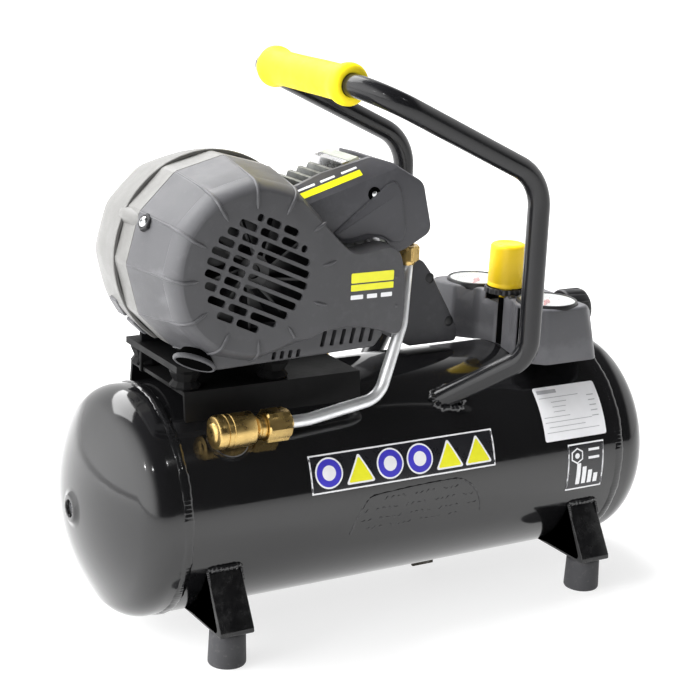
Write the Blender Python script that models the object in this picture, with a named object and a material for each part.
# Portable direct-drive air compressor, 12 litre lying tank, with the pump on the
# left half of the tank, the switch and gauge console on the right and a bent tube
# handle over both. Metres, +Z up, +X along the tank, the panel side faces -Y.
import math

import bmesh
import bpy
from mathutils import Matrix, Vector

for old in list(bpy.data.objects):
    bpy.data.objects.remove(old, do_unlink=True)

MM = 0.001

# ---- driving dimensions, millimetres ----------------------------------------
TANK_R = 92.0            # outer radius of the rolled shell
TANK_WALL = 2.5
SEAM_X = 204.0           # the shell runs from -SEAM_X to +SEAM_X
AXIS_Z = 107.5           # tank centre line over the floor
HEAD_FLANGE = 10.0       # straight part of a tank end
HEAD_DEPTH = 47.0        # pressed part of a tank end
FOOT_X = 171.5           # bracket and foot centres
FOOT_Y = 94.0
FOOT_R = 15.0
FOOT_H = 28.0
BRACKET_W = 29.0
BRACKET_T = 3.0
TUBE_R = 9.0             # handle tube
LEG_Y = 100.0
LEG_X = 92.0
CRANK_X, CRANK_Z = -147.0, 301.5   # motor and crank shaft, along Y
CYL_Y = -22.0            # cylinder centre line
CYL_TILT = math.radians(17.0)      # cylinder lies this far above level
THROW = 9.0              # eccentric offset, half the stroke
COWL_FRONT = -82.0       # front face of the pump cowl
COWL_SPLIT = 2.0         # where the two cowl shells meet
COWL_BACK = 74.0
COWL_WALL = 2.5
VALVE = (-160.0, -77.5, 181.2)     # check valve body centre
CONSOLE_TOP = 244.0
CONSOLE_LOW = 197.0
KNOB = (139.0, 0.0)
NIPPLE_X = 148.0         # the pipe that holds the switch over the tank
GAUGES = {"far": (140.0, 45.5), "near": (151.0, -43.5)}
REGULATOR_Z = 222.0
GAP = 0.35
FACETS = 0.56            # share of the named facet counts that round pieces get

# ---- materials --------------------------------------------------------------
LOOKS = {
    "tank_black": ((0.012, 0.012, 0.014), 0.0, 0.22),
    "bracket_black": ((0.013, 0.013, 0.015), 0.0, 0.35),
    "tube_grey": ((0.09, 0.09, 0.10), 0.0, 0.30),
    "rubber_grey": ((0.05, 0.05, 0.055), 0.0, 0.75),
    "cowl_grey": ((0.11, 0.11, 0.12), 0.0, 0.45),
    "yellow": ((0.90, 0.72, 0.02), 0.0, 0.45),
    "brass": ((0.72, 0.52, 0.22), 1.0, 0.28),
    "aluminium": ((0.72, 0.73, 0.74), 1.0, 0.38),
    "cast_alloy": ((0.46, 0.48, 0.46), 1.0, 0.50),
    "steel": ((0.42, 0.42, 0.43), 1.0, 0.32),
    "copper_pack": ((0.35, 0.20, 0.12), 1.0, 0.45),
    "black_plastic": ((0.02, 0.02, 0.022), 0.0, 0.40),
    "dial_white": ((0.80, 0.80, 0.78), 0.0, 0.40),
    "needle_red": ((0.55, 0.03, 0.03), 0.0, 0.40),
    "glass": ((0.95, 0.97, 0.97), 0.0, 0.04),
}
MATERIALS = {}
for key, (colour, metallic, roughness) in LOOKS.items():
    mat = bpy.data.materials.new(key)
    mat.use_nodes = True
    shader = mat.node_tree.nodes["Principled BSDF"]
    shader.inputs["Base Color"].default_value = (*colour, 1.0)
    shader.inputs["Metallic"].default_value = metallic
    shader.inputs["Roughness"].default_value = roughness
    if key == "glass":
        shader.inputs["Transmission Weight"].default_value = 0.95
    MATERIALS[key] = mat


# ---- making and joining meshes ----------------------------------------------
def obj_from(name, points, faces):
    """A mesh object from points in millimetres, its faces turned outwards."""
    mesh = bpy.data.meshes.new(name)
    mesh.from_pydata([tuple(c * MM for c in p) for p in points], [], faces)
    bm = bmesh.new()
    bm.from_mesh(mesh)
    bmesh.ops.recalc_face_normals(bm, faces=bm.faces)
    if bm.calc_volume(signed=True) < 0:
        bmesh.ops.reverse_faces(bm, faces=bm.faces)
    bm.to_mesh(mesh)
    bm.free()
    obj = bpy.data.objects.new(name, mesh)
    bpy.context.scene.collection.objects.link(obj)
    return obj


def spun(name, profile, origin, axis, steps=32, turn=0.0):
    """A closed outline of (distance along the axis, radius) turned about an axis."""
    if steps > 12:
        steps = 4 * int(round(steps * FACETS / 4))
    axis = Vector(axis).normalized()
    side = axis.orthogonal().normalized()
    if abs(axis.z) > 0.9:
        side = Vector((1, 0, 0))
    elif abs(axis.x) > 0.9:
        side = Vector((0, 0, 1))
    side = (side - axis * side.dot(axis)).normalized()
    up = axis.cross(side)
    base = Vector(origin)
    points, rings = [], []
    for along, radius in profile:
        centre = base + axis * along
        if radius < 1e-6:
            rings.append([len(points)])
            points.append(centre)
            continue
        ring = []
        for i in range(steps):
            a = turn + 2 * math.pi * i / steps
            ring.append(len(points))
            points.append(centre + (side * math.cos(a) + up * math.sin(a)) * radius)
        rings.append(ring)
    faces = []
    count = len(rings)
    for k in range(count):
        one, two = rings[k], rings[(k + 1) % count]
        if len(one) == 1 and len(two) == 1:
            continue
        for i in range(steps):
            j = (i + 1) % steps
            if len(one) == 1:
                faces.append((one[0], two[i], two[j]))
            elif len(two) == 1:
                faces.append((one[i], two[0], one[j]))
            else:
                faces.append((one[i], two[i], two[j], one[j]))
    return obj_from(name, points, faces)


def rod(name, origin, axis, start, end, radius, steps=32, turn=0.0):
    return spun(name, [(start, 0), (start, radius), (end, radius), (end, 0)],
                origin, axis, steps, turn)


def tube(name, origin, axis, start, end, inner, outer, steps=32):
    return spun(name, [(start, inner), (start, outer), (end, outer), (end, inner)],
                origin, axis, steps)


def loft(name, loops):
    """Loops of equal point count, skinned in order and capped at both ends."""
    size = len(loops[0])
    points = [p for loop in loops for p in loop]
    faces = [tuple(range(size))[::-1],
             tuple(range((len(loops) - 1) * size, len(loops) * size))]
    for k in range(len(loops) - 1):
        for i in range(size):
            j = (i + 1) % size
            faces.append((k * size + i, k * size + j,
                          (k + 1) * size + j, (k + 1) * size + i))
    return obj_from(name, points, faces)


def prism_y(name, outline, lo, hi):
    return loft(name, [[(x, y, z) for x, z in outline] for y in (lo, hi)])


def prism_x(name, outline, lo, hi):
    return loft(name, [[(x, y, z) for y, z in outline] for x in (lo, hi)])


def prism_z(name, outline, lo, hi):
    return loft(name, [[(x, y, z) for x, y in outline] for z in (lo, hi)])


def block(name, lo, hi):
    return prism_z(name, [(lo[0], lo[1]), (hi[0], lo[1]), (hi[0], hi[1]), (lo[0], hi[1])],
                   lo[2], hi[2])


def combine(base, others, operation):
    """Joins the others to the base, or cuts them from it, and leaves a plain mesh."""
    for other in others:
        modifier = base.modifiers.new("join", "BOOLEAN")
        modifier.operation = operation
        modifier.solver = "EXACT"
        modifier.object = other
    bpy.context.view_layer.update()
    graph = bpy.context.evaluated_depsgraph_get()
    mesh = bpy.data.meshes.new_from_object(base.evaluated_get(graph))
    base.modifiers.clear()
    base.data = mesh
    for other in others:
        bpy.data.objects.remove(other, do_unlink=True)
    return base


def join(base, *others):
    return combine(base, list(others), "UNION")


def cut(base, *others):
    return combine(base, list(others), "DIFFERENCE")


def finish(obj, name, look, origin=None, sharp=32.0):
    """Names a piece, gives it its material and moves its origin onto a joint axis."""
    obj.name = name
    obj.data.name = name
    obj.data.materials.clear()
    obj.data.materials.append(MATERIALS[look])
    if origin is not None:
        at = Vector(origin) * MM
        obj.data.transform(Matrix.Translation(-at))
        obj.location = at
    bm = bmesh.new()
    bm.from_mesh(obj.data)
    for face in bm.faces:
        face.smooth = True
    for edge in bm.edges:
        if len(edge.link_faces) == 2:
            edge.smooth = edge.calc_face_angle(0.0) < math.radians(sharp)
    bm.to_mesh(obj.data)
    bm.free()
    return obj


def bent_path(corners, radii, step=math.radians(15)):
    """A centre line with each inner corner rounded to its own bend radius."""
    pts = [Vector(c) for c in corners]
    path = [pts[0]]
    for i in range(1, len(pts) - 1):
        before = (pts[i - 1] - pts[i]).normalized()
        after = (pts[i + 1] - pts[i]).normalized()
        turn = math.pi - before.angle(after)
        reach = radii[i - 1] * math.tan(turn / 2)
        start = pts[i] + before * reach
        middle = (before + after).normalized()
        centre = pts[i] + middle * (radii[i - 1] / math.cos(turn / 2))
        arm = start - centre
        normal = arm.cross(pts[i] - centre).normalized()
        count = max(2, int(round(turn / step)))
        for k in range(count + 1):
            path.append(centre + Matrix.Rotation(turn * k / count, 3, normal) @ arm)
    path.append(pts[-1])
    return path


def swept(name, path, radius, steps=20):
    """A round bar along a centre line."""
    loops = []
    direction = (path[1] - path[0]).normalized()
    side = direction.orthogonal().normalized()
    for i, point in enumerate(path):
        here = (path[min(i + 1, len(path) - 1)] - path[max(i - 1, 0)]).normalized()
        side = (side - here * side.dot(here)).normalized()
        up = here.cross(side)
        stretch = 1.0
        if 0 < i < len(path) - 1:
            half = (path[i + 1] - point).angle(point - path[i - 1]) / 2
            stretch = 1 / math.cos(half)
        bend = Vector((0, 0, 0))
        if stretch > 1.0001:
            bend = ((path[i + 1] - point).normalized() - (point - path[i - 1]).normalized()).normalized()
        loop = []
        for k in range(steps):
            a = 2 * math.pi * k / steps
            arm = (side * math.cos(a) + up * math.sin(a)) * radius
            if bend.length > 0:
                arm += bend * arm.dot(bend) * (stretch - 1)
            loop.append(point + arm)
        loops.append(loop)
    return loft(name, loops)


def on_tank(x, degrees, radius):
    """A point over the tank, degrees from straight up towards the panel side."""
    a = math.radians(degrees)
    return Vector((x, -radius * math.sin(a), AXIS_Z + radius * math.cos(a)))


def tilted(u, v, y):
    """A point in the cylinder's frame: u along its centre line, v across it."""
    c, s = math.cos(CYL_TILT), math.sin(CYL_TILT)
    return Vector((CRANK_X + u * c - v * s, y, CRANK_Z + u * s + v * c))


U_DIR = (math.cos(CYL_TILT), 0, math.sin(CYL_TILT))
CRANK = (CRANK_X, 0, CRANK_Z)


def prism_uv(name, outline, lo, hi):
    return loft(name, [[tilted(u, v, y) for u, v in outline] for y in (lo, hi)])


def hexagon(name, origin, axis, start, end, flats, turn=0.0):
    return rod(name, origin, axis, start, end, flats / 2 / math.cos(math.pi / 6), 6, turn)


# ---- tank --------------------------------------------------------------------
shell = spun("shell", [
    (-SEAM_X + 0.2, TANK_R - TANK_WALL), (-SEAM_X + 0.2, TANK_R + 0.6), (-SEAM_X + 2.0, TANK_R + 1.5),
    (-SEAM_X + 4.5, TANK_R + 1.0), (-SEAM_X + 5.5, TANK_R),
    (SEAM_X - 5.5, TANK_R), (SEAM_X - 4.5, TANK_R + 1.0), (SEAM_X - 2.0, TANK_R + 1.5),
    (SEAM_X - 0.2, TANK_R + 0.6), (SEAM_X - 0.2, TANK_R - TANK_WALL)],
    (0, 0, AXIS_Z), (1, 0, 0), 72)
VALVE_DEG = math.degrees(math.atan2(-VALVE[1], VALVE[2] - AXIS_Z))
SAFETY_X, SAFETY_DEG = 4.0, -48.0
DRAIN_X = 68.0
bosses, bores = [], []
for x, degrees, outer, height, bore in (
        (VALVE[0], VALVE_DEG, 16.0, 1.2, 7.2),
        (NIPPLE_X, 0.0, 11.0, 3.5, 6.7),
        (SAFETY_X, SAFETY_DEG, 11.0, 3.5, 5.7),
        (DRAIN_X, 180.0, 9.0, 3.0, 5.2)):
    outwards = on_tank(0, degrees, 1) - Vector((0, 0, AXIS_Z))
    bosses.append(rod("boss", on_tank(x, degrees, 0), outwards, TANK_R - 1.6, TANK_R + height, outer, 24))
    bores.append(rod("bore", on_tank(x, degrees, 0), outwards, TANK_R - 8, TANK_R + height + 5, bore, 20))
join(shell, *bosses)
cut(shell, *bores)
finish(shell, "tank_shell", "tank_black")


def head_profile(inset, count):
    """Half outline of a tank end: straight flange, knuckle, then a wide crown."""
    big, small = 0.8 * 2 * TANK_R, 0.154 * 2 * TANK_R
    centre_r = TANK_R - small
    # where the knuckle meets the crown
    depth = big - math.sqrt((big - small) ** 2 - centre_r ** 2)
    scale = HEAD_DEPTH / depth
    split = math.asin(centre_r / (big - small))
    rows = []
    for k in range(count):
        a = split * k / (count - 1)
        rows.append(((big - inset) * math.cos(a) - (big - depth), (big - inset) * math.sin(a)))
    for k in range(1, count):
        a = split + (math.pi / 2 - split) * k / (count - 1)
        rows.append(((small - inset) * math.cos(a), centre_r + (small - inset) * math.sin(a)))
    return [(HEAD_FLANGE + z * scale, r) for z, r in rows]


for side, way in (("left", -1), ("right", 1)):
    outer = head_profile(0.0, 6)
    inner = head_profile(TANK_WALL, 4)
    tip = outer[0][0]
    port = 6.8
    boss_r = 11.0
    outline = [(inner[0][0] - 2.5, port), (tip + 2.0, port), (tip + 2.0, boss_r)]
    outline += [(z, r) for z, r in outer if r > boss_r + 1]
    outline += [(0.2, TANK_R), (0.2, TANK_R - TANK_WALL)]
    outline += [(z, r) for z, r in reversed(inner) if r > boss_r + 1]
    outline += [(inner[0][0] - 2.5, boss_r)]
    end = spun("end", outline, (way * SEAM_X, 0, AXIS_Z), (way, 0, 0), 72)
    finish(end, "tank_head_" + side, "tank_black")
    plug = rod("plug", (way * SEAM_X, 0, AXIS_Z), (way, 0, 0), tip - 6.0, tip - 0.6, port - GAP, 24)
    cut(plug, hexagon("key", (way * SEAM_X, 0, AXIS_Z), (way, 0, 0), tip - 4.0, tip + 3, 8.0))
    finish(plug, "port_plug_" + side, "steel")

# ---- feet: one folded plate each, welded to the tank at both ends -------------
PLATE_TOP = (85.8, 73.6)
PLATE_LOW = (110.5, 33.0)
FLANGE_Z = FOOT_H + GAP
for lengthwise, way in (("left", -1), ("right", 1)):
    for crosswise, sense in (("front", -1), ("rear", 1)):
        t = BRACKET_T
        ty, tz = PLATE_TOP
        ly, lz = PLATE_LOW
        slope = Vector((ly - ty, lz - tz)).normalized()
        inward = Vector((slope.y, -slope.x)) * t
        outline = [(ty, tz), (ly, lz), (ly + 0.6, FLANGE_Z + 1.0), (ly - 1.0, FLANGE_Z),
                   (47.0, FLANGE_Z), (47.0, FLANGE_Z + t), (ly - 5.0, FLANGE_Z + t),
                   (ty + inward.x - 1.0, tz + inward.y + 2.0)]
        plate = prism_x("plate", [(sense * y, z) for y, z in outline],
                        way * FOOT_X - BRACKET_W / 2, way * FOOT_X + BRACKET_W / 2)
        cut(plate, rod("room", (0, 0, AXIS_Z), (1, 0, 0), -260, 260, TANK_R + 0.3, 72),
            rod("hole", (way * FOOT_X, sense * FOOT_Y, 0), (0, 0, 1), 20, 40, 4.2, 16))
        finish(plate, "foot_bracket_%s_%s" % (crosswise, lengthwise), "bracket_black")
        foot = spun("foot", [(0, 5.0), (0, FOOT_R - 1.5), (1.2, FOOT_R), (FOOT_H - 1, FOOT_R - 1.0),
                             (FOOT_H, FOOT_R - 2.0), (FOOT_H, 3.2), (9.0, 3.2), (9.0, 5.0)],
                    (way * FOOT_X, sense * FOOT_Y, 0), (0, 0, 1), 20)
        finish(foot, "rubber_foot_%s_%s" % (crosswise, lengthwise), "rubber_grey")

# ---- handle -------------------------------------------------------------------
GRIP_X, GRIP_Z = -62.0, 435.0
FOOT_END = on_tank(46.0, 41.5, TANK_R + TUBE_R - 1.5)
SHOULDER = (LEG_X, 362.5)
KNEE = (LEG_X, 216.5)


def handle_half(sense):
    down = Vector((46.0 - 12.0, FOOT_END.y + 10.0, FOOT_END.z - 9.0))
    return [Vector((p[0], -p[1] * sense, p[2])) for p in (
        (KNEE[0], -LEG_Y, KNEE[1]), tuple(down))]


near = handle_half(1)
far = handle_half(-1)
corners = [near[1], near[0], Vector((SHOULDER[0], -LEG_Y, SHOULDER[1])) * 1,
           Vector((GRIP_X, -LEG_Y, GRIP_Z))]
corners = [Vector((c.x, -abs(c.y), c.z)) for c in corners]
corners += [Vector((c.x, -c.y, c.z)) for c in reversed(corners)]
path = bent_path(corners, [26, 38, 35, 35, 38, 26])
handle = swept("tube", path, TUBE_R, 12)
cut(handle, rod("room", (0, 0, AXIS_Z), (1, 0, 0), -260, 260, TANK_R + 0.3, 72))
finish(handle, "handle_tube", "tube_grey")

grip = spun("grip", [(-63, TUBE_R + GAP), (-63, 14.0), (-61.5, 16.0), (-57, 16.6), (-51, 15.6), (-43, 13.9),
                     (43, 13.9), (51, 15.6), (57, 16.6), (61.5, 16.0), (63, 14.0), (63, TUBE_R + GAP)],
            (GRIP_X, 0, GRIP_Z), (0, 1, 0), 32)
finish(grip, "handle_grip", "yellow")

# ---- check valve and delivery pipe --------------------------------------------
out_dir = on_tank(0, VALVE_DEG, 1) - Vector((0, 0, AXIS_Z))
reach = (Vector(VALVE) - on_tank(VALVE[0], VALVE_DEG, 0)).length
body = spun("body", [(-21.0, 0), (-21.0, 8.0), (-19.0, 9.5), (-19.0, 11.8), (-17.5, 13.2), (12.0, 13.2),
                     (14.5, 10.5), (16.0, 9.0), (22.5, 9.0), (22.5, 5.6), (-12.0, 5.6), (-12.0, 0)],
            VALVE, (1, 0, 0), 28)
join(body, rod("stub", VALVE, -out_dir, 10.0, reach - TANK_R + 6.0, 6.7, 20))
cut(body, rod("way", VALVE, -out_dir, 2.0, reach - TANK_R + 9.0, 3.4, 16))
finish(body, "check_valve_body", "brass")
NUT_X = VALVE[0] + 33.5
disc = rod("disc", VALVE, (1, 0, 0), 5.0, 9.0, 5.1, 20)
finish(disc, "check_valve_disc", "rubber_grey", (VALVE[0] + 7.0, VALVE[1], VALVE[2]))
nut = hexagon("nut", VALVE, (1, 0, 0), 22.9, 43.0, 23.0, math.pi / 6)
cut(nut, rod("bore", VALVE, (1, 0, 0), 20, 50, 5.4, 20))
finish(nut, "check_valve_nut", "brass")

PIPE_R = 4.9
pipe_corners = [(VALVE[0] + 24.0, VALVE[1], VALVE[2]), (VALVE[0] + 62.0, VALVE[1], VALVE[2] + 0.3),
                (-34.0, -76.5, 191.0), (-11.0, -68.5, 246.5), (-5.5, -62.0, 273.0), (2.5, -51.0, 286.0),
                (2.5, -51.0, 304.0)]
pipe = swept("pipe", bent_path(pipe_corners, [30, 22, 24, 40, 16], math.radians(15)), PIPE_R, 10)
finish(pipe, "delivery_pipe", "aluminium")
union_nut = hexagon("nut", (2.5, -51.0, 0), (0, 0, 1), 294.0, 306.0, 17.0, math.pi / 12)
cut(union_nut, rod("bore", (2.5, -51.0, 0), (0, 0, 1), 290, 320, PIPE_R + GAP, 20))
finish(union_nut, "head_union_nut", "brass")

# ---- pump base and its rubber mounts --------------------------------------------
BASE_Z = 203.0
skirt = 52.0
low = AXIS_Z + math.sqrt(TANK_R ** 2 - skirt ** 2)
outline = [(-skirt - 1.5, low - 6), (-49.5, BASE_Z + 3), (49.5, BASE_Z + 3), (skirt + 1.5, low - 6),
           (skirt - 1.5, low - 6), (47.0, BASE_Z), (-47.0, BASE_Z), (-skirt + 1.5, low - 6)]
base = prism_x("base", outline, -190.0, -36.0)
MOUNTS = {"front_left": (-183.0, -36.0), "front_right": (-108.0, -36.0),
          "rear_left": (-183.0, 36.0), "rear_right": (-108.0, 36.0)}
cut(base, rod("room", (0, 0, AXIS_Z), (1, 0, 0), -260, 260, TANK_R + 0.3, 72))
finish(base, "pump_base", "bracket_black")
FOOT_PLATE = 221.5
for name, (x, y) in MOUNTS.items():
    mount = spun("mount", [(BASE_Z + 3 + GAP, 0), (BASE_Z + 3 + GAP, 11.5), (BASE_Z + 5.5, 12.5), (212.5, 9.5),
                           (FOOT_PLATE - 2.5, 12.5), (FOOT_PLATE - GAP, 11.5), (FOOT_PLATE - GAP, 0)],
                 (x, y, 0), (0, 0, 1), 20)
    finish(mount, "pump_mount_" + name, "rubber_grey")

# ---- crank, motor and fan -------------------------------------------------------

def oblong(radius, y, back=6.0, count=36):
    """A ring round the crank, longer on the side away from the cylinder."""
    loop = []
    for k in range(count):
        a = 2 * math.pi * (k + 0.5) / count
        loop.append(tilted(radius * math.cos(a) - (back if math.cos(a) < 0 else 0.0), radius * math.sin(a), y))
    return loop


case = loft("case", [oblong(30, -52), oblong(48.5, -50), oblong(48.5, 14)])
join(case, rod("neck", tilted(0, 0, CYL_Y), U_DIR, 30, 50, 29.6, 36),
     block("foot", (-196, -48, FOOT_PLATE), (-95, 46, FOOT_PLATE + 5)),
     block("web_a", (-176, -44, FOOT_PLATE + 3), (-168, 6, 272)),
     block("web_b", (-126, -44, FOOT_PLATE + 3), (-118, 6, 272)))
cut(case, loft("chamber", [oblong(44.8, -46), oblong(44.8, 9)]))
cut(case, rod("throat", tilted(0, 0, CYL_Y), U_DIR, 12, 60, 25.5, 32),
    rod("seats", CRANK, (0, 1, 0), -60, 20, 12.3, 28))
finish(case, "crankcase", "cast_alloy")

bell = spun("bell", [(14.4, 57.0), (14.4, 60.0), (60, 60.0), (65, 52.0), (65, 12.3), (61, 12.3), (61, 50.0),
                     (57, 57.0)], CRANK, (0, 1, 0), 40)
finish(bell, "motor_bell", "cast_alloy")
stator = tube("stator", CRANK, (0, 1, 0), 18, 55, 33.0, 56.5, 32)
finish(stator, "motor_stator", "copper_pack")
shaft = spun("shaft", [(-73, 0), (-73, 5.0), (-56.5, 5.0), (-56.5, 8.0), (17, 8.0),
                       (17, 12.0), (19, 12.0), (19, 32.4), (54, 32.4), (54, 12.0), (57, 12.0), (57, 8.0),
                       (66, 8.0), (66, 0)], CRANK, (0, 1, 0), 32)
finish(shaft, "rotor_shaft", "steel", CRANK)
for name, lo, hi in (("front", -52, -46), ("rear", 61, 65)):
    bearing = tube("bearing", CRANK, (0, 1, 0), lo + 0.1, hi - 0.1, 8.4, 11.9, 28)
    finish(bearing, "bearing_" + name, "steel")
eccentric = rod("disc", (CRANK_X - THROW * math.sin(CYL_TILT), 0, CRANK_Z + THROW * math.cos(CYL_TILT)),
                (0, 1, 0), -27, -17, 17.6, 32)
join(eccentric, prism_uv("weight", [(-14.5, -2), (-12, 8), (-5, 14), (5, 14), (12, 8), (14.5, -2), (22, -30),
                                    (8, -37), (-8, -37), (-22, -30)], -38.5, -26.3))
cut(eccentric, rod("bore", CRANK, (0, 1, 0), -60, 10, 8.35, 28))
finish(eccentric, "crank_eccentric", "steel", CRANK)

# piston and rod are one piece; its eye is wide enough to clear the turning eccentric
eye_v, eye_u = THROW + 17.6 + 0.9, 2 * THROW + 17.6 + 0.9
eye = []
for grow in (0.0, 3.0):
    loop = []
    for k in range(32):
        a = 2 * math.pi * k / 32
        loop.append(((THROW if math.cos(a) > 0 else -THROW) + (eye_v + grow) * math.cos(a),
                     (eye_v + grow) * math.sin(a)))
    eye.append(loop)
piston = prism_uv("ring", eye[1], -26, -18)
join(piston, rod("crown", tilted(0, 0, CYL_Y), U_DIR, 90, 101, 24.6, 32),
     loft("bar", [[tilted(u, v, y) for v, y in ((-w, CYL_Y - 4), (w, CYL_Y - 4), (w, CYL_Y + 4), (-w, CYL_Y + 4))]
                  for u, w in ((36.5, 9), (92, 7))]))
cut(piston, prism_uv("hole", eye[0], -40, 0))
finish(piston, "piston_rod", "aluminium", tilted(96, 0, CYL_Y))

fan = spun("fan", [(-74.5, 5.4), (-74.5, 13), (-62.5, 16), (-60.5, 60), (-58.8, 60), (-58.8, 5.4)],
           CRANK, (0, 1, 0), 36)
blades = []
for k in range(9):
    a = 2 * math.pi * k / 9
    loops = []
    for y, lean in ((-60.0, 0.0), (-74.0, 0.16)):
        loop = []
        for radius, thick in ((12.0, 1.0), (60.0, 1.0)):
            for s in (-1, 1) if radius < 20 else (1, -1):
                b = a + lean + s * thick / radius + (0.35 if radius > 20 else 0.0)
                loop.append((CRANK_X + radius * math.cos(b), y, CRANK_Z + radius * math.sin(b)))
        loops.append(loop)
    blades.append(loft("blade", loops))
join(fan, *blades)
finish(fan, "cooling_fan", "black_plastic", CRANK)

# ---- cylinder, valve plate, head and intake --------------------------------------
cylinder = rod("barrel", tilted(0, 0, CYL_Y), U_DIR, 50.4, 110.6, 29.5, 36)
fins = []
for k in range(6):
    u = 56.6 + 9.4 * k
    size_v, size_y, c = 35.0, 36.0, 7.0
    ring = [(-size_v + c, -size_y), (22.0, -size_y), (size_v, -22.0), (size_v, size_y - c),
            (size_v - c, size_y), (-size_v + c, size_y), (-size_v, size_y - c), (-size_v, -size_y + c)]
    fins.append(loft("fin", [[tilted(w, v, CYL_Y + y) for v, y in ring] for w in (u, u + 2.4)]))
join(cylinder, *fins)
cut(cylinder, rod("bore", tilted(0, 0, CYL_Y), U_DIR, 40, 120, 25.0, 36))
finish(cylinder, "finned_cylinder", "cast_alloy")


def square_uv(name, u0, u1):
    """The square flange outline shared by the valve plate and the head."""
    ring = [(-33, -36.5), (18, -36.5), (39, -14), (39, 31), (33, 36.5), (-33, 36.5), (-39, 30.5), (-39, -30.5)]
    return loft(name, [[tilted(u, v, CYL_Y + y) for v, y in ring] for u in (u0, u1)])


plate = square_uv("plate", 111.0, 116.5)
cut(plate, rod("port", tilted(0, 9, CYL_Y), U_DIR, 100, 130, 4.0, 16),
    rod("port", tilted(0, -9, CYL_Y), U_DIR, 100, 130, 4.0, 16))
finish(plate, "valve_plate", "steel")
head = square_uv("head", 117.0, 126.0)
chamber = prism_uv("chamber", [(125, -27), (158, -27), (158, -6), (146, 13), (125, 22)], CYL_Y - 32, CYL_Y + 27)
ribs = [prism_uv("rib", [(124.5, 10), (140, 10), (130, 34), (124.5, 36)], CYL_Y + y, CYL_Y + y + 3)
        for y in (-8, 4, 16)]
join(head, chamber, *ribs)
cut(head, prism_uv("hollow", [(110, -20), (150, -20), (150, -8), (142, 8), (110, 14)], CYL_Y - 20, CYL_Y + 18),
    rod("outlet", (2.5, -51.0, 0), (0, 0, 1), 300, 325, 7.0, 20))
finish(head, "cylinder_head", "cast_alloy")
FILTER = tilted(145, -8, 0)
filt = spun("filter", [(CYL_Y + 27.4, 0), (CYL_Y + 27.4, 9), (9, 9), (10, 16), (32, 17), (35, 15), (35, 0)],
            FILTER, (0, 1, 0), 24)
finish(filt, "intake_filter", "black_plastic")


# ---- pump cowl --------------------------------------------------------------------
def drum(radius, y, squash=1.0):
    loop = []
    for k in range(12):
        a = math.radians(90 + 30 * k)
        r = radius / math.cos(math.radians(6))
        loop.append((CRANK_X + r * math.cos(a), y, CRANK_Z + r * math.sin(a) * squash))
    return loop


def offset_outline(outline, by):
    """A closed outline moved inwards by a wall thickness."""
    area = sum(a[0] * b[1] - b[0] * a[1] for a, b in zip(outline, outline[1:] + outline[:1]))
    sign = 1 if area > 0 else -1
    moved = []
    n = len(outline)
    for i in range(n):
        p, q, r = (Vector(outline[(i + k) % n]) for k in (-1, 0, 1))
        d1, d2 = (q - p).normalized(), (r - q).normalized()
        n1, n2 = Vector((-d1.y, d1.x)) * sign, Vector((-d2.y, d2.x)) * sign
        m = (n1 + n2)
        m = m / max(0.3, m.dot(n1))
        moved.append((q.x + m.x * by, q.y + m.y * by))
    return moved


# the flat panel that runs from the drum to the right, its top edge dips in a wave
PANEL = [(-186, 240), (-120, 243), (-74, 249), (-48, 251), (-22, 245), (-22.5, 304), (-30, 312), (-42, 314.5),
         (-57, 311.5), (-68, 314.5), (-78, 329), (-108, 353), (-150, 362)]
SKIRT = [(-178, 226), (-34, 230), (-28, 256), (-186, 256)]
w = COWL_WALL


def front_solid(inset, y_front, y_back):
    body = loft("drum", [drum(69.0 - inset, y_front), drum(74.5 - inset, y_front + 5.5),
                         drum(79.0 - inset, COWL_SPLIT - 20), drum(80.0 - inset, y_back)])
    panel_a = offset_outline(PANEL, inset)
    panel_b = offset_outline(PANEL, inset + 1.6)
    panel = loft("panel", [[(x, y_front + 0.4, z) for x, z in panel_b],
                           [(x, y_front + 3.2, z) for x, z in panel_a],
                           [(x, -34, z) for x, z in panel_a]])
    skirt_part = prism_y("skirt", offset_outline(SKIRT, inset) if inset else SKIRT, -70 + inset, -30)
    return body, panel, skirt_part


body, panel, skirt_part = front_solid(0.0, COWL_FRONT, COWL_SPLIT)
join(body, panel, skirt_part)
inner, inner_panel, inner_skirt = front_solid(w, COWL_FRONT + w, COWL_SPLIT + 6)
open_bottom = block("bottom", (-203, -62, 205), (-40, 40, 236))
passage = prism_uv("passage", [(40, -42), (190, -42), (190, 47), (40, 43)], -66, 60)
cut(body, inner, inner_panel, inner_skirt)
cut(body, open_bottom, passage, block("rear_room", (-66, -60, 255), (10, 20, 300)))

# rows of slanted slots over the fan
slots = []
GRILLE_R = 43.5
slant = math.radians(-24)
cs, sn = math.cos(slant), math.sin(slant)
for row in range(-6, 7):
    v = row * 7.0
    if abs(v) > GRILLE_R - 4:
        continue
    half = math.sqrt(GRILLE_R ** 2 - v ** 2)
    count = max(1, int(round(2 * half / 17.0)))
    pitch = 2 * half / count
    for k in range(count):
        centre = -half + pitch * (k + 0.5)
        long, high = pitch / 2 - 1.4, 2.25
        ring = [(-long, -high), (long, -high), (long, high), (-long, high)]
        ring = [(CRANK_X + (centre + p) * cs - (v + q) * sn, CRANK_Z + (centre + p) * sn + (v + q) * cs)
                for p, q in ring]
        slots.append(prism_y("slot", ring, COWL_FRONT - 4, COWL_FRONT + 6))
for k in range(6):
    x = -78 + 7.2 * k
    slots.append(prism_y("vent", [(x, 233), (x + 3.4, 233), (x + 5.4, 245), (x + 2, 245)], -80, -60))
cut(body, *slots)
finish(body, "front_cowl", "cowl_grey", sharp=22.0)


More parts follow.
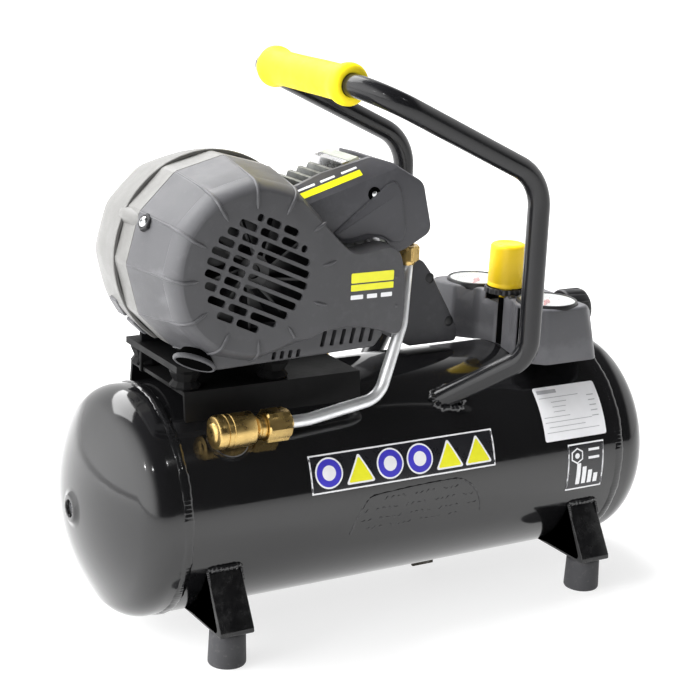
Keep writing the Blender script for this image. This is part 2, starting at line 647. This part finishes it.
def rear_solid(inset):
    return loft("rear", [drum(80.0 - inset, COWL_SPLIT + 0.5 - (6 if inset else 0)), drum(80.0 - inset, 34),
                         drum(77.0 - inset, 54), drum(69.0 - inset, 66), drum(56.0 - inset, COWL_BACK - inset)])


rear = rear_solid(0.0)
cut(rear, rear_solid(w))
vents = [block("vent", (CRANK_X - 44, 60, CRANK_Z + 8 * k - 2), (CRANK_X + 44, 90, CRANK_Z + 8 * k + 2))
         for k in range(-4, 5)]
cut(rear, block("bottom", (-203, -20, 205), (-90, 62, 236)),
    prism_uv("passage", [(40, -42), (190, -42), (190, 43), (40, 43)], -66, 24), *vents)
finish(rear, "rear_cowl", "cowl_grey", sharp=22.0)

# cover over the front and the end of the head
COVER = [(60, -38), (137, -38), (163, -33), (165, 8), (142, 32.5), (129, 40), (86, 42), (60, 39.5)]
cover = prism_uv("cover", COVER, -62, 0)
slope_cut = loft("slope", [[tilted(u, v, y) for v, y in ((26.0, -64), (60, -64), (60, -30))] for u in (40, 190)])
hollow = prism_uv("hollow", [(40, -60), (158, -60), (160.4, -33), (162.3, 7), (140.5, 30.0), (128.3, 37.3),
                             (86, 39.4), (40, 37)], -59.5, 20)
slope_in = loft("slope", [[tilted(u, v, y) for v, y in ((26.0, -60.5), (60, -60.5), (60, -26.5))] for u in (30, 200)])
cut(hollow, slope_in)
window = prism_uv("window", [(30, 28), (129.5, 28), (129.5, 60), (30, 60)], -45.5, 30)
cut(cover, slope_cut, hollow, window)
cut(cover, prism_y("below", offset_outline(PANEL, -1.2), -84, -57), block("left", (-130, -70, 300), (-96, 10, 352)))
finish(cover, "head_cover", "cowl_grey", sharp=22.0)

# ---- console ---------------------------------------------------------------------
PLAN = [(122.5, -60), (134, -71), (186, -71), (194, -60), (194, 62), (184, 72), (112, 72), (102, 62), (111, 38),
        (126, 22), (128, 0), (128, -26), (122.5, -37)]
TOP = [(122.5, -60), (134, -70), (172, -70), (186, -57), (189, 60), (181, 70), (112, 71), (103, 61), (111.5, 38),
       (126, 22), (128, 0), (128, -26), (122.5, -37)]


def console_solid(inset, lo, hi):
    a = offset_outline(PLAN, inset)
    b = offset_outline(TOP, inset)
    return loft("console", [[(x, y, lo) for x, y in a], [(x, y, hi) for x, y in b]])


console = console_solid(0.0, CONSOLE_LOW, CONSOLE_TOP)
edge = prism_y("edge", [(176.6, CONSOLE_TOP + 0.2), (187, CONSOLE_TOP - 9), (210, CONSOLE_TOP - 40), (210, CONSOLE_TOP + 20),
                        (176.6, CONSOLE_TOP + 20)], -90, 90)
edge_in = prism_y("edge", [(175.5, CONSOLE_TOP - 2.5), (184.6, CONSOLE_TOP - 10.5), (208, CONSOLE_TOP - 42),
                           (220, CONSOLE_TOP + 30), (175.5, CONSOLE_TOP + 30)], -95, 95)
inside = console_solid(w, CONSOLE_LOW - 20, CONSOLE_TOP - w)
cut(inside, edge_in)
cutters = [edge, inside, rod("room", (0, 0, AXIS_Z), (1, 0, 0), 60, 260, TANK_R + 1.0, 72),
           rod("knob_hole", (KNOB[0], KNOB[1], 0), (0, 0, 1), 230, 260, 17.2, 32),
           rod("reg_hole", (0, 0, REGULATOR_Z), (1, 0, 0), 180, 220, 11.6, 24),
           rod("out_hole", (0, 38, 208.5), (1, 0, 0), 180, 220, 8.6, 24)]
for gx, gy in GAUGES.values():
    cutters.append(rod("gauge_hole", (gx, gy, 0), (0, 0, 1), CONSOLE_TOP - 3.4, 260, 26.4, 36))
cut(console, *cutters)
cut(console, block("groove", (118, -13.5, 180), (129.3, -5.0, 241)),
    block("groove", (110, -50, 180), (124.0, -41, 241)))
finish(console, "console_housing", "cowl_grey", sharp=22.0)

duct = prism_y("duct", [(24, 289), (40, 283), (54, 277), (62, 267), (85, 228), (93, 214), (91, 204), (44, 204),
                        (30, 214), (22, 240)], 2, 44)
cut(duct, prism_y("hollow", [(26, 284), (40, 279), (52, 274), (59, 265), (82, 227), (89, 214), (88, 207), (45, 207),
                             (32, 216), (25, 240)], 4.5, 60),
    rod("screw", (61.0, 0, 262.0), (0, 1, 0), -5, 3.8, 4.6, 20), rod("screw", (83.0, 0, 222.5), (0, 1, 0), -5, 3.8, 4.6, 20))
finish(duct, "wiring_duct", "cowl_grey")

# ---- pressure switch, knob, regulator, outlet --------------------------------------
switch = block("switch", (132, -15, 207), (160, 15, 234))
join(switch, rod("nipple", (NIPPLE_X, 0, 0), (0, 0, 1), 190, 210, 6.3, 20),
     hexagon("hex", (NIPPLE_X, 0, 0), (0, 0, 1), 203.6, 208, 20.0),
     rod("reg", (0, 0, REGULATOR_Z), (1, 0, 0), 155, 199, 10.8, 24),
     block("bar", (148.3, 11.2, 203.8), (158.4, 46, 213.2)), rod("out", (0, 38, 208.5), (1, 0, 0), 153.6, 200, 7.4, 20, 0.17))
cut(switch, rod("bore", (KNOB[0], 0, 0), (0, 0, 1), 216, 250, 5.6, 20),
    rod("reg_bore", (0, 0, REGULATOR_Z), (1, 0, 0), 186, 210, 4.6, 20),
    rod("out_bore", (0, 38, 208.5), (1, 0, 0), 180, 210, 4.4, 20))
finish(switch, "pressure_switch", "aluminium")

collar = tube("collar", (KNOB[0], KNOB[1], 0), (0, 0, 1), CONSOLE_TOP + GAP, CONSOLE_TOP + 4.8, 16.8, 18.6, 32)
finish(collar, "knob_collar", "black_plastic")
knob = spun("knob", [(CONSOLE_TOP + 5.6, 5.2), (CONSOLE_TOP + 5.6, 16.2), (285.0, 16.2), (286.6, 15.0), (287.0, 12.0),
                     (287.0, 0), (226.0, 0), (226.0, 5.2)], (KNOB[0], KNOB[1], 0), (0, 0, 1), 36)
finish(knob, "switch_knob", "yellow", (KNOB[0], KNOB[1], CONSOLE_TOP + 5.6))

regulator = spun("regulator", [(186.8, 0), (186.8, 4.2), (200.5, 4.2), (200.5, 16.5), (202.5, 18.0), (220.5, 18.0),
                               (223.0, 16.0), (223.5, 0)], (0, 0, REGULATOR_Z), (1, 0, 0), 36)
ridges = []
for k in range(12):
    a = 2 * math.pi * k / 12
    ridges.append(rod("flute", (0, 19.6 * math.cos(a), REGULATOR_Z + 19.6 * math.sin(a)), (1, 0, 0), 204, 230, 2.6, 10))
cut(regulator, *ridges)
finish(regulator, "regulator_knob", "black_plastic", (212, 0, REGULATOR_Z))

coupler = spun("coupler", [(200.6, 4.2), (200.6, 8.6), (206, 8.6), (206, 7.0), (232, 7.0), (232, 4.2)],
               (0, 38, 208.5), (1, 0, 0), 24)
finish(coupler, "outlet_coupler", "brass")
sleeve = spun("sleeve", [(211.5, 7.5), (211.5, 11.0), (214, 12.0), (229, 12.0), (231, 11.0), (231, 7.5)],
              (0, 38, 208.5), (1, 0, 0), 28)
finish(sleeve, "coupler_sleeve", "steel", (221, 38, 208.5))

# ---- gauges -------------------------------------------------------------------------
for name, (gx, gy) in GAUGES.items():
    case = spun("case", [(226, 0), (226, 21.5), (CONSOLE_TOP - 3.0, 21.5), (CONSOLE_TOP - 2.6, 26.0), (CONSOLE_TOP + 2.4, 26.0),
                         (CONSOLE_TOP + 2.4, 24.0), (CONSOLE_TOP - 2.0, 24.0), (CONSOLE_TOP - 2.0, 0)], (gx, gy, 0), (0, 0, 1), 40)
    finish(case, "gauge_case_" + name, "dial_white")
    needle = rod("hub", (gx, gy, 0), (0, 0, 1), CONSOLE_TOP - 1.6, CONSOLE_TOP - 0.3, 2.8, 20)
    a = math.radians(225 if name == "far" else 225)
    c, s = math.cos(a), math.sin(a)
    ring = [(-7, -1.2), (0, -1.6), (19.5, -0.4), (19.5, 0.4), (0, 1.6), (-7, 1.2)]
    join(needle, prism_z("hand", [(gx + p * c - q * s, gy + p * s + q * c) for p, q in ring],
                         CONSOLE_TOP - 1.35, CONSOLE_TOP - 0.55))
    finish(needle, "gauge_needle_" + name, "needle_red", (gx, gy, CONSOLE_TOP - 1.0))
    lens = rod("lens", (gx, gy, 0), (0, 0, 1), CONSOLE_TOP + 0.4, CONSOLE_TOP + 1.8, 23.7, 36)
    finish(lens, "gauge_lens_" + name, "glass")

# ---- safety valve and drain ----------------------------------------------------------
safe_dir = on_tank(0, SAFETY_DEG, 1) - Vector((0, 0, AXIS_Z))
safe_at = on_tank(SAFETY_X, SAFETY_DEG, 0)
valve = spun("valve", [(88, 0), (88, 5.3), (96.2, 5.3), (96.2, 8.5), (101, 8.5), (101, 6.5), (116, 6.5), (118, 5.0),
                       (118, 0)], safe_at, safe_dir, 20)
cut(valve, rod("bore", safe_at, safe_dir, 104, 130, 2.6, 16))
finish(valve, "safety_valve", "brass")
pin = rod("pin", safe_at, safe_dir, 108, 126, 1.8, 16)
right = Vector((1, 0, 0))
across = safe_dir.cross(right)
ring_path = []
ring_centre = safe_at + safe_dir * 134.0
loops = []
for k in range(16):
    a = 2 * math.pi * k / 16
    arm = right * math.cos(a) + safe_dir * math.sin(a)
    loops.append([ring_centre + arm * (9.0 + 1.1 * math.cos(b)) + across * (1.1 * math.sin(b))
                  for b in (2 * math.pi * j / 6 for j in range(6))])
points = [p for loop in loops for p in loop]
faces = []
for k in range(16):
    for j in range(6):
        m, n = (k + 1) % 16, (j + 1) % 6
        faces.append((k * 6 + j, k * 6 + n, m * 6 + n, m * 6 + j))
pull = obj_from("pull", points, faces)
join(pin, pull)
finish(pin, "safety_ring", "steel", safe_at + safe_dir * 117.0)

drain = spun("drain", [(88, 0), (88, 4.9), (95.4, 4.9), (95.4, 7.5), (100, 7.5), (102.5, 6.0), (102.5, 0)],
             (DRAIN_X, 0, AXIS_Z), (0, 0, -1), 20)
join(drain, block("wing", (DRAIN_X - 10.5, -1.4, 2.5), (DRAIN_X + 10.5, 1.4, 10.5)))
finish(drain, "drain_screw", "brass", (DRAIN_X, 0, 8))
